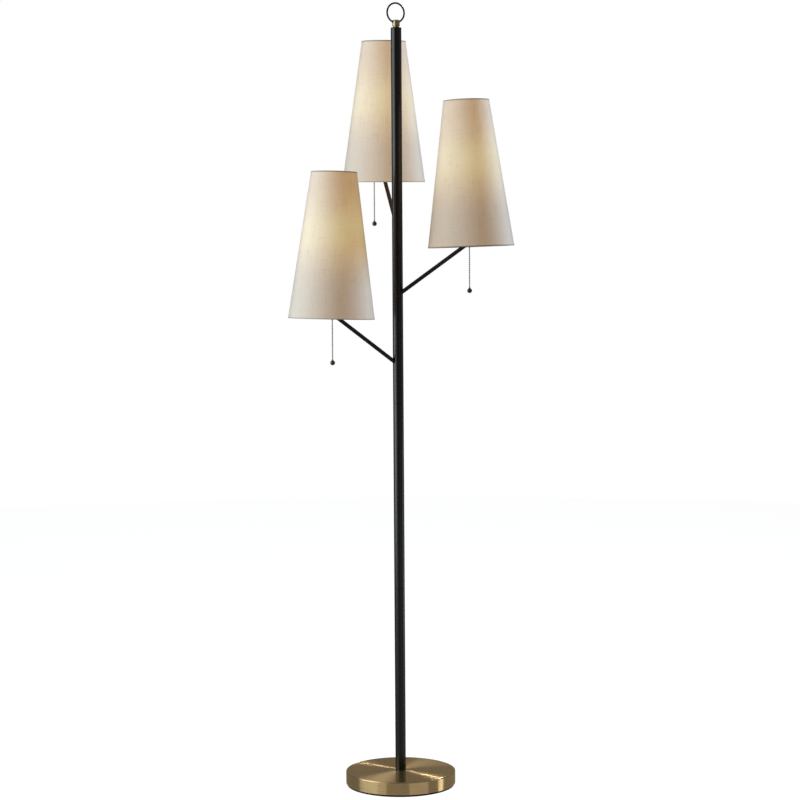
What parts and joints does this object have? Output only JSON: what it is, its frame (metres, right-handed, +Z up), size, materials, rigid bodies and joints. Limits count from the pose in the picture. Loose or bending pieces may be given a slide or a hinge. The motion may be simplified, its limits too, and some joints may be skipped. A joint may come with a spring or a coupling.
{
  "type": "tree floor lamp",
  "caption": "Floor lamp with a round weighted base, a slim pole, and tall cone shades on bent arms at different heights, each with a pull chain.",
  "frame": {"origin": "on the floor, under the pole's axis, at the middle of the base pad's underside", "axes": "+Z up along the pole, -Y to the front of the lamp (the side the picture shows), +X to its right seen from the front"},
  "size_m": [0.5323, 0.5008, 1.8801],
  "materials": {
    "brass_finish": "brushed, aged",
    "black_powder_coat": "satin",
    "cast_iron": "rough casting",
    "foot_foam": "matt foam",
    "black_plastic": "moulded",
    "zinc_steel": "zinc plated",
    "dark_bronze": "satin, brown black",
    "lead_sheath": "smooth",
    "socket_brass": "satin",
    "insulator": "moulded",
    "contact_brass": "bright",
    "white_wire": "white enamel",
    "chain_brass": "aged",
    "cap_aluminium": "threaded",
    "opal_glass": "frosted",
    "linen": "slub weave on a stiff liner"
  },
  "bodies": {
    "lamp": {"base_cover": "brass_finish", "base_weight": "cast_iron", "base_pad": "foot_foam", "cord_bushing": "black_plastic", "base_pipe": "zinc_steel", "base_washer": "zinc_steel", "base_nut": "zinc_steel", "pole_bottom_section": "black_powder_coat", "pole_lower_section": "black_powder_coat", "pole_branch_section": "black_powder_coat", "pole_top_section": "black_powder_coat", "pole_couplings": "zinc_steel", "pole_foot_plug": "zinc_steel", "pole_top_plug": "black_powder_coat", "finial_knob": "brass_finish", "finial_ring": "brass_finish", "low_lead": "lead_sheath", "low_arm": "dark_bronze", "low_socket_cap": "socket_brass", "low_socket_shell": "socket_brass", "low_socket_core": "insulator", "low_lamp_contacts": "contact_brass", "low_bulb_cap": "cap_aluminium", "low_bulb_glass": "opal_glass", "low_clamp_ring": "socket_brass", "low_shade_frame": "white_wire", "low_shade": "linen", "mid_lead": "lead_sheath", "mid_arm": "dark_bronze", "mid_socket_cap": "socket_brass", "mid_socket_shell": "socket_brass", "mid_socket_core": "insulator", "mid_lamp_contacts": "contact_brass", "mid_bulb_cap": "cap_aluminium", "mid_bulb_glass": "opal_glass", "mid_clamp_ring": "socket_brass", "mid_shade_frame": "white_wire", "mid_shade": "linen", "top_lead": "lead_sheath", "top_arm": "dark_bronze", "top_socket_cap": "socket_brass", "top_socket_shell": "socket_brass", "top_socket_core": "insulator", "top_lamp_contacts": "contact_brass", "top_bulb_cap": "cap_aluminium", "top_bulb_glass": "opal_glass", "top_clamp_ring": "socket_brass", "top_shade_frame": "white_wire", "top_shade": "linen", "socket_locknuts": "zinc_steel", "lever_pins": "zinc_steel"},
    "low_switch_chain": {"low_chain_top": "chain_brass"},
    "low_hanging_chain": {"low_pull_chain": "chain_brass"},
    "low_switch_lever": {"low_pull_lever": "zinc_steel"},
    "mid_switch_chain": {"mid_chain_top": "chain_brass"},
    "mid_hanging_chain": {"mid_pull_chain": "chain_brass"},
    "mid_switch_lever": {"mid_pull_lever": "zinc_steel"},
    "top_switch_chain": {"top_chain_top": "chain_brass"},
    "top_hanging_chain": {"top_pull_chain": "chain_brass"},
    "top_switch_lever": {"top_pull_lever": "zinc_steel"}
  },
  "joints": [
    {"name": "low_chain_pull", "type": "slide", "parent": "lamp", "child": "low_switch_chain", "axis": [-0.0264, -0.0186, -0.9995], "range_m": [0, 0.009], "stiffness_N_per_m": 1000, "springref_m": -0.003},
    {"name": "low_chain_swing", "type": "hinge", "parent": "low_switch_chain", "child": "low_hanging_chain", "pos_m": [-0.15302, -0.13269, 1.19738], "axis": [-0.999, -0.0456, 0], "range_deg": [-15, 40]},
    {"name": "low_lever_turn", "type": "hinge", "parent": "lamp", "child": "low_switch_lever", "pos_m": [-0.15309, -0.12036, 1.21517], "axis": [0.9986, 0.0451, -0.0272], "range_deg": [0, 41.16]},
    {"name": "mid_chain_pull", "type": "slide", "parent": "lamp", "child": "mid_switch_chain", "axis": [0.0294, -0.0134, -0.9995], "range_m": [0, 0.009], "stiffness_N_per_m": 1000, "springref_m": -0.003},
    {"name": "mid_chain_swing", "type": "hinge", "parent": "mid_switch_chain", "child": "mid_hanging_chain", "pos_m": [0.16873, -0.10204, 1.3632], "axis": [-0.9927, 0.1203, 0], "range_deg": [-15, 40]},
    {"name": "mid_lever_turn", "type": "hinge", "parent": "lamp", "child": "mid_switch_lever", "pos_m": [0.16964, -0.08988, 1.38108], "axis": [0.9923, -0.1199, 0.0308], "range_deg": [0, 41.16]},
    {"name": "top_chain_pull", "type": "slide", "parent": "lamp", "child": "top_switch_chain", "axis": [-0.0055, 0.0318, -0.9995], "range_m": [0, 0.009], "stiffness_N_per_m": 1000, "springref_m": -0.003},
    {"name": "top_chain_swing", "type": "hinge", "parent": "top_switch_chain", "child": "top_hanging_chain", "pos_m": [-0.0561, 0.18584, 1.5231], "axis": [-0.0001, 1, 0], "range_deg": [-15, 40]},
    {"name": "top_lever_turn", "type": "hinge", "parent": "lamp", "child": "top_switch_lever", "pos_m": [-0.044, 0.18527, 1.54102], "axis": [-0.0001, -0.9995, -0.0318], "range_deg": [0, 41.16]}
  ],
  "couplings": [
    {"joint": "low_lever_turn", "follows": "low_chain_pull", "rad_per_m": 79.727},
    {"joint": "mid_lever_turn", "follows": "mid_chain_pull", "rad_per_m": 79.727},
    {"joint": "top_lever_turn", "follows": "top_chain_pull", "rad_per_m": 79.727}
  ]
}
